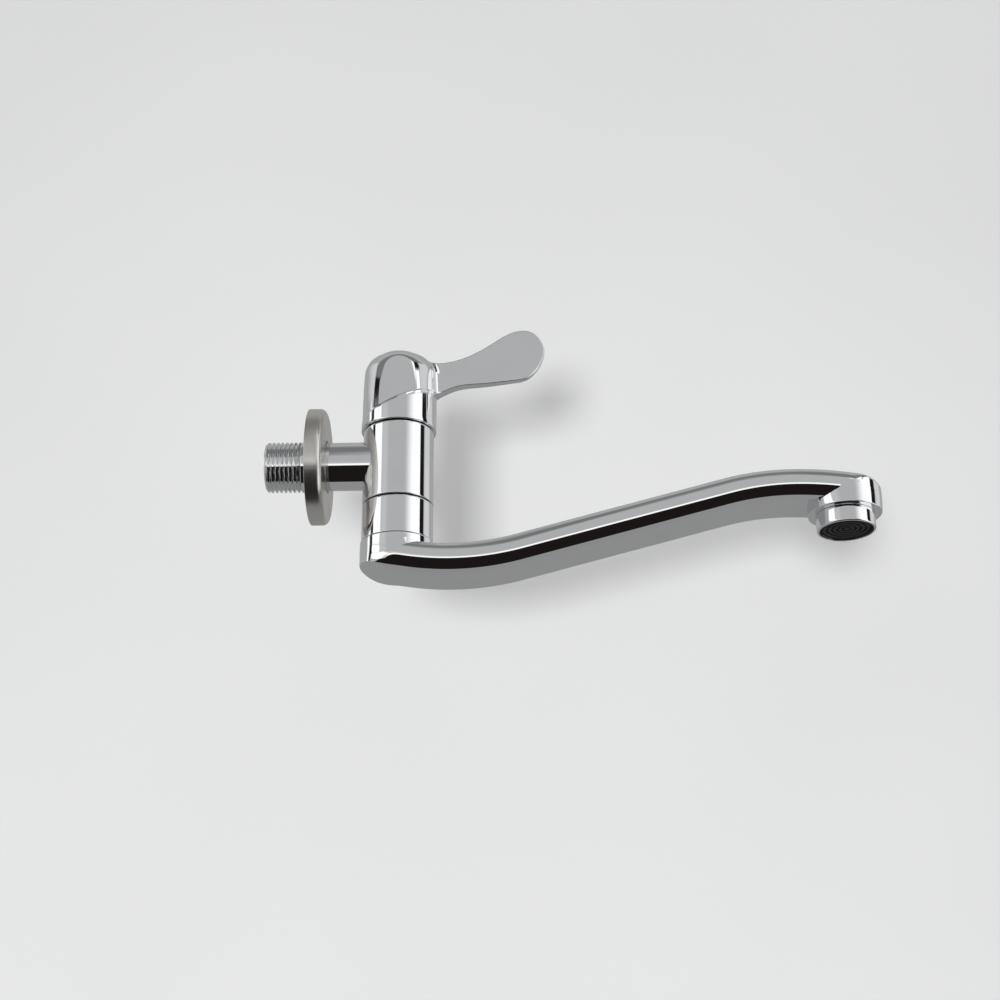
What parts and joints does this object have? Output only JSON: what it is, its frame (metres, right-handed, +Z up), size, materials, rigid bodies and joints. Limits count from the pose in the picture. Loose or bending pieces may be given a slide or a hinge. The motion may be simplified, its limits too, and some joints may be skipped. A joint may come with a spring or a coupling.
{
  "type": "wall-mounted sink tap",
  "caption": "Chrome wall-mounted sink tap: upright valve body with a paddle lever, one threaded inlet, a low rising swivel spout with aerator, and a loose round wall flange.",
  "frame": {"origin": "on the inlet axis in the wall plane, at the inner end of the inlet thread", "axes": "+Z up along the valve body, +X from the wall out along the spout, -X along the inlet thread into the wall"},
  "size_m": [0.2515, 0.0482, 0.113],
  "materials": {
    "polished_chrome": "polished chrome plate on brass",
    "bare_brass": "machined brass",
    "disc_ceramic": "lapped white alumina",
    "seal_rubber": "matt black rubber",
    "spring_steel": "plain steel",
    "dark_nylon": "matt black nylon",
    "pale_nylon": "natural nylon",
    "black_plastic": "moulded black plastic",
    "satin_steel": "satin pressed stainless sheet"
  },
  "bodies": {
    "tap_body": {"valve_body": "polished_chrome", "inlet_pipe": "polished_chrome", "cartridge_body": "bare_brass", "cartridge_gasket": "seal_rubber", "fixed_disc": "disc_ceramic", "base_seal": "seal_rubber", "retaining_ring": "spring_steel", "stem_seal_upper": "seal_rubber", "stem_seal_lower": "seal_rubber", "swivel_washer": "dark_nylon"},
    "handle": {"lever_handle": "polished_chrome", "grub_screw": "spring_steel", "spindle": "bare_brass", "spindle_clip": "spring_steel", "slip_washer": "pale_nylon", "spindle_seal": "seal_rubber", "moving_disc": "disc_ceramic"},
    "swivel_spout": {"spout": "polished_chrome", "swivel_collar": "polished_chrome", "aerator_ring": "polished_chrome", "aerator_gasket": "seal_rubber", "aerator_insert": "black_plastic", "aerator_screen": "spring_steel"},
    "flange": {"wall_flange": "satin_steel"}
  },
  "joints": [
    {"name": "handle_turn", "type": "hinge", "parent": "tap_body", "child": "handle", "pos_m": [0.0363, 0, 0], "axis": [0, 0, 1], "range_deg": [0, 90]},
    {"name": "spout_swivel", "type": "hinge", "parent": "tap_body", "child": "swivel_spout", "pos_m": [0.0363, 0, 0], "axis": [0, 0, 1], "range_deg": [-90, 90]},
    {"name": "flange_slide", "type": "slide", "parent": "tap_body", "child": "flange", "axis": [1, 0, 0], "range_m": [-0.035, 0.0135]}
  ]
}
